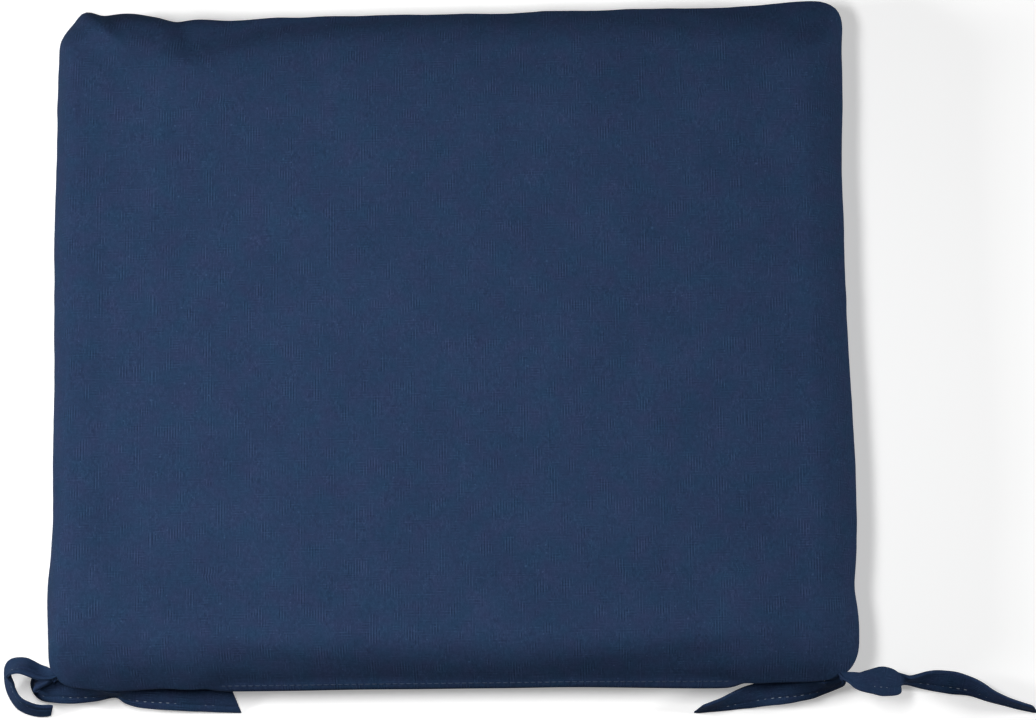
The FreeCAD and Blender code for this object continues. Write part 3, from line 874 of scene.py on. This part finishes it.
# Stations along each tail, from the place where it leaves its root: x and y from there, z from the
# floor, roll in degrees (positive lifts its left edge), and the share of its width that lies open.
TAILS = {
    "left_outer": [
        (2.5, 2, 26.6, 10, 0.3),
        (0, 0.8, 27.0, 4, 0.38),
        (-8, 2.2, 26.6, 40, 0.7),
        (-17, 5.8, 27, 56, 1),
        (-25.5, 5.0, 20, 62, 1),
        (-28, -1, 13, 64, 1),
        (-27, -8, 9.4, 66, 1),
        (-22, -15, 8.4, 66, 0.95),
        (-13, -18.6, 6.2, 62, 0.72),
        (-4, -18.6, 5.2, 60, 0.62),
    ],
    "left_inner": [
        (2, 2, 24, 0, 0.28),
        (-3, -0.8, 22.5, 28, 0.42),
        (-12.5, -3.6, 12.8, 60, 0.85),
        (-9.5, -8.0, 11.6, 56, 1),
        (0, -8.2, 14.5, 38, 1),
        (10, -9.4, 15.5, 44, 1),
        (22, -9.8, 14.8, 62, 1),
        (34, -10.0, 14.5, 82, 1),
        (41, -11.0, 14, 60, 1),
        (50, -11.6, 12.5, 40, 1),
        (64, -12.4, 10.5, 32, 1),
        (84, -13.8, 8, 35, 1),
        (105, -15, 6, 40, 1),
    ],
    "right_inner": [
        (-2, 3, 24, 0, 0.28),
        (-1, -0.5, 23, -30, 0.4),
        (-7, -5, 16, -72, 1),
        (-17, -6.8, 14.8, -54, 1),
        (-27, -8, 13.8, -46, 1),
        (-42, -8.6, 10, -28, 1),
        (-58, -11.4, 7.2, -46, 1),
        (-71, -15, 8.4, -70, 1),
        (-84, -17.5, 8.4, -84, 1),
    ],
    "right_outer": [
        (-2, 3, 26.6, 0, 0.3),
        (0, 0, 27.2, 0, 0.3),
        (5, -2.0, 29.4, 0, 0.48),
        (10, -3.8, 30.4, 0, 0.72),
        (23, -3.6, 24.5, 0, 1.08),
        (31, -4.4, 19, 12, 0.88),
        (36, -2.6, 14.5, 76, 0.66),
        (48, -2, 9.6, 58, 1),
        (63, -3.5, 7, 40, 1),
        (76, -6.5, 7.6, 56, 1),
        (87, -12, 8.3, 72, 1),
        (99, -16.5, 8.4, 82, 1),
        (112, -20, 8.4, 86, 1),
    ],
}

# Where along a tail its stitches stand proud. Elsewhere, and all along the left outer tail, they are
# drawn down into the cloth.
PROUD_STITCHES = {
    "left_inner": (84, 105),
    "right_inner": (28, 52),
    "right_outer": (77, 86),
}

# Which edge of each tail its stitches run along: 1 for the left edge, seen along the tail, or -1.
STITCHED_EDGE = {"left_outer": 1, "left_inner": -1, "right_inner": 1, "right_outer": -1}

# How far each tail's cut end slants, as a share of its width.
SLANTS = {"left_outer": 0.2, "left_inner": -0.37, "right_inner": 0.3, "right_outer": -0.3}

# A tie's section, from its fold round its upper face to its two turned-in edges: across and up, as
# shares of its half width and half thickness. The stitching presses a valley into each face.
UPPER_FACE = [
    (-1.0, 0.0), (-0.985, 0.6), (-0.94, 1.05), (-0.85, 1.25), (-0.7, 1.12), (-0.5, 0.98),
    (-0.25, 0.95), (0.0, 0.98), (0.2, 1.0), (0.3, 0.82), (0.4, 0.5), (0.5, 0.82),
    (0.62, 1.08), (0.8, 1.1), (0.93, 1.05), (0.985, 0.75), (1.0, 0.4), (0.96, 0.08),
]
SECTION = UPPER_FACE + [(across, -up) for across, up in reversed(UPPER_FACE[1:])]
# How far away on the flat cloth a tail's lower face lies from its upper one.
LOWER_FACE_AWAY = 30


def smooth_path(stations, step):
    """Catmull-Rom values through the stations, about one step apart."""
    rows = np.array(stations, float)
    rows = np.vstack([2 * rows[0] - rows[1], rows, 2 * rows[-1] - rows[-2]])
    values = []
    for a, b, c, d in zip(rows, rows[1:], rows[2:], rows[3:]):
        count = max(2, int(round(np.linalg.norm(c[:3] - b[:3]) / step)))
        for share in np.arange(count) / count:
            values.append(
                0.5 * (2 * b + (c - a) * share + (2 * a - 5 * b + 4 * c - d) * share**2
                       + (3 * b - a - 3 * c + d) * share**3)
            )
    values.append(rows[-2])
    return np.array(values)


def strip_frames(path):
    """Travel, left-edge and face directions at each point of a tie's path."""
    travel = np.gradient(path[:, :3], axis=0)
    travel /= np.linalg.norm(travel, axis=1)[:, None]
    heading = np.arctan2(travel[:, 1], travel[:, 0])
    level = np.column_stack([-np.sin(heading), np.cos(heading), np.zeros(len(path))])
    roll = np.radians(path[:, 3])[:, None]
    left = level * np.cos(roll) + np.array([0, 0, 1]) * np.sin(roll)
    left -= travel * np.sum(left * travel, axis=1)[:, None]
    left /= np.linalg.norm(left, axis=1)[:, None]
    return travel, left, np.cross(travel, left)


def swept_strip(name, path, frames, run, half_width):
    """A tail's points and their places on the flat cloth, ring by ring, each ring round its section."""
    travel, left, face = frames
    seed = 20 + list(TAILS).index(name)
    line = along_line(run)
    edge_wave = EDGE_WAVE * ripple(line, 8, seed)
    swell = 1 + SWELL * ripple(line, 11, seed + 10)
    slant = SLANTS[name] * ease(run, run[-1] - SLANT_LENGTH, run[-1])
    gathered = path[:, 4] ** -0.5
    closing = 1 - 0.55 * ease(run, run[-1] - CLOSING_END, run[-1])
    crumpled = min(path[0, 4] * 3, 1)
    edge = STITCHED_EDGE[name]
    points, places = [], []
    for across, up in [(edge * across, up) for across, up in SECTION[::edge]]:
        flat_across = across * TIE_WIDTH / 2
        aside = half_width * across + edge_wave * across
        crumple = CRUMPLE * ripple(along_line(run, flat_across), 9, seed + 5)
        height = TIE_HALF_THICKNESS * up * swell * gathered * closing + crumple * crumpled
        ring = path[:, :3] + left * aside[:, None] + face * height[:, None]
        points.append(ring + travel * (slant * aside)[:, None])
        away = LOWER_FACE_AWAY if up < 0 else 0
        places.append(np.column_stack([np.full(len(run), flat_across + away), run]))
    return np.array(points).transpose(1, 0, 2), np.array(places).transpose(1, 0, 2)


def tie_tail(name, stations):
    """A folded canvas strip swept along its stations, with its stitching."""
    pivot = PIVOTS[f"{name}_tail"]
    path = smooth_path(stations, PATH_STEP)
    path[:, :2] += pivot[:2]
    frames = strip_frames(path)
    run = np.concatenate([[0], np.cumsum(np.linalg.norm(np.diff(path[:, :3], axis=0), axis=1))])
    half_width = TIE_WIDTH / 2 * path[:, 4]
    points, places = swept_strip(name, path, frames, run, half_width)
    around = len(SECTION)
    faces, marks = [], []
    for ring in range(len(run) - 1):
        for step in range(around):
            following = (step + 1) % around
            corners = [(ring, following), (ring + 1, following), (ring + 1, step), (ring, step)]
            faces.append([r * around + c for r, c in corners])
            marks += [places[r, c] for r, c in corners]
    for ring, order in ((0, 1), (len(run) - 1, -1)):
        faces.append([ring * around + step for step in range(around)][::order])
        marks += [(UPPER_FACE[0][0] + step, 4 * ring) for step in range(around)]
    tail = mesh_object(f"tie_{name}_strip", points.reshape(-1, 3), faces, SHADED_TIE_CANVAS)
    set_weave_map(tail, marks)
    subdivide(tail)
    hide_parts(f"tie_{name}")
    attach(tail, f"{name}_tail")
    row = tie_stitches(name, path, frames, run, half_width)


def tie_stitches(name, path, frames, run, half_width):
    """The pale topstitch row on both faces of a tail."""
    travel, left, face = frames
    places = []
    for distance in np.arange(TIE_STITCH_START, run[-1] - 3, TIE_STITCH_PITCH):
        spot, ahead, edgewise, outwards = (
            np.array([np.interp(distance, run, values[:, axis]) for axis in range(3)])
            for values in (path, travel, left, face)
        )
        aside = STITCHED_EDGE[name] * STITCH_SHARE * np.interp(distance, run, half_width)
        proud = 0.0
        if name in PROUD_STITCHES:
            start, end = PROUD_STITCHES[name]
            proud = ease(distance, start - 3, start + 3) * (1 - ease(distance, end - 3, end + 3))
        for side in (1, -1):
            height = TIE_HALF_THICKNESS * 0.62 - 0.14 * (1 - proud)
            middle = spot + edgewise * aside + outwards * side * height
            places.append((middle, ahead, outwards * side, 0.62 + 0.38 * proud))
    row = stitch_row(
        f"tie_{name}_topstitch", places, TIE_STITCH_LENGTH, TIE_STITCH_WIDTH, TIE_STITCH_HEIGHT, TIE_THREAD
    )
    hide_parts(f"tie_{name}_stitching")
    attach(row, f"{name}_tail")
    return row


for tail_name, tail_stations in TAILS.items():
    tie_tail(tail_name, tail_stations)

ROOT_ROWS = 14
ROOT_AROUND = 36
ROOT_HALF_WIDTH = 3.0
# How much narrower a root is half way along.
ROOT_WAIST = 0.5
ROOT_HALF_HEIGHT = 0.78
# How far a root runs on past the tails' pivot.
ROOT_OVERRUN = 2.2


def tie_root(side):
    """The gathered middle of a tie, which comes out of the seam under the cover's corner."""
    low, high = (np.array(corner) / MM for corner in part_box(f"tie_{side}_root"))
    inner = np.array([high[0] if side == "left" else low[0], high[1]])
    outer = np.array(PIVOTS[f"{side}_outer_tail"][:2])
    direction = (outer - inner) / np.linalg.norm(outer - inner)
    across = np.array([-direction[1], direction[0]])
    length = np.linalg.norm(outer - inner) + ROOT_OVERRUN
    points, marks = [], []
    for row in range(ROOT_ROWS + 1):
        share = row / ROOT_ROWS
        for step in range(ROOT_AROUND):
            angle = 2 * math.pi * step / ROOT_AROUND
            pleat = 1 + 0.16 * math.sin(5 * angle + 2.2 * share)
            width = (ROOT_HALF_WIDTH - ROOT_WAIST * math.sin(math.pi * share)) * pleat
            height = ROOT_HALF_HEIGHT * (1 + 0.12 * math.sin(7 * angle))
            spot = inner + direction * share * length + across * width * math.cos(angle)
            points.append((spot[0], spot[1], SEAM_HEIGHT + height * math.sin(angle)))
            marks.append((angle * ROOT_HALF_WIDTH, share * length))
    faces = tube_faces(ROOT_ROWS, ROOT_AROUND)
    root = mesh_object(f"tie_{side}_root_gather", points, faces, SHADED_TIE_CANVAS)
    set_weave_map(root, [marks[corner] for face in root.data.polygons for corner in face.vertices])
    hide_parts(f"tie_{side}_root", f"tie_{side}_bartack")
    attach(root, "pad")


for corner_side in ("left", "right"):
    tie_root(corner_side)

# ---------------------------------------------------------------------------------------------
# Floor, lights and camera

FLOOR_REACH = 9000
FLOOR_GLOW = 0.3
WORLD_LIGHT = 0.05
# Each lamp: name, place, target, width and height, all in metres, and its power in watts.
LAMPS = [
    ("overhead", (-0.16, -0.045, 0.8), (-0.03, 0, 0.05), (0.35, 0.16), 4.05),
    ("left_side", (-1.3, -0.06, 0.6), (0, 0, 0.05), (0.3, 0.3), 12.6),
    ("right_side", (2.2, -0.09, 0.9), (0, 0, 0.05), (0.4, 0.3), 26),
]
# The camera's lean from upright, the turn of that lean towards +X, and its roll, in degrees. Its
# target and distance are in metres, and its sensor and lens in millimetres.
CAMERA_TILT = 10
CAMERA_SWING = 8.7
CAMERA_ROLL = -0.61
CAMERA_TARGET = (0.0402, -0.010, SEAM_HEIGHT * MM)
CAMERA_DISTANCE = 1.8
SENSOR_WIDTH = 36
LENS = 106


def floor():
    """A pale floor with a little glow. Hidden from diffuse rays, it doesn't light the pad."""
    s = Shader("pale_floor")
    place = s.node("ShaderNodeTexCoord").outputs["Object"]
    tone = s.remap(s.cloud(s.scaled(place, (3, 3, 3))), 0.3, 0.7, 0.97, 1.0)
    s.feed(s.surface.inputs["Base Color"], s.mix(tone, (0.7, 0.7, 0.7, 1), (0.9, 0.9, 0.9, 1)))
    s.surface.inputs["Roughness"].default_value = 0.9
    s.surface.inputs["Specular IOR Level"].default_value = 0.1
    s.surface.inputs["Emission Color"].default_value = (1, 1, 1, 1)
    s.surface.inputs["Emission Strength"].default_value = FLOOR_GLOW
    reach = FLOOR_REACH
    corners = [(-reach, -reach, 0), (reach, -reach, 0), (reach, reach, 0), (-reach, reach, 0)]
    ground = mesh_object("floor", corners, [[0, 1, 2, 3]], s.material)
    ground.visible_diffuse = False


def softbox(name, place, target, sizes, power):
    """A rectangular lamp aimed at a target, which the camera doesn't see."""
    light = bpy.data.lights.new(name, "AREA")
    light.shape = "RECTANGLE"
    light.size, light.size_y = sizes
    light.energy = power
    lamp = bpy.data.objects.new(name, light)
    lamp.location = place
    lamp.rotation_euler = (Vector(target) - Vector(place)).to_track_quat("-Z", "Y").to_euler()
    lamp.visible_camera = False
    bpy.context.scene.collection.objects.link(lamp)


def studio():
    """The floor, the lamps and a little even light from all round."""
    floor()
    for lamp in LAMPS:
        softbox(*lamp)
    world = bpy.data.worlds.new("studio")
    world.use_nodes = True
    world.node_tree.nodes["Background"].inputs[0].default_value = (1, 1, 1, 1)
    world.node_tree.nodes["Background"].inputs[1].default_value = WORLD_LIGHT
    bpy.context.scene.world = world
    bpy.context.scene.view_settings.view_transform = "Standard"


def camera():
    """Almost straight above the pad, a little behind its back edge."""
    tilt, swing, roll = math.radians(CAMERA_TILT), math.radians(CAMERA_SWING), math.radians(CAMERA_ROLL)
    target = Vector(CAMERA_TARGET)
    back = Vector((math.sin(tilt) * math.sin(swing), -math.sin(tilt) * math.cos(swing), math.cos(tilt)))
    data = bpy.data.cameras.new("camera")
    data.sensor_width = SENSOR_WIDTH
    data.lens = LENS
    made = bpy.data.objects.new("camera", data)
    made.location = target + back * CAMERA_DISTANCE
    right = (-back).cross(Vector((0, 1, 0))).normalized()
    up = right.cross(-back)
    turned = right * math.cos(roll) + up * math.sin(roll)
    upright = up * math.cos(roll) - right * math.sin(roll)
    made.rotation_euler = Matrix((turned, upright, back)).transposed().to_euler()
    bpy.context.scene.collection.objects.link(made)
    bpy.context.scene.camera = made


studio()
camera()
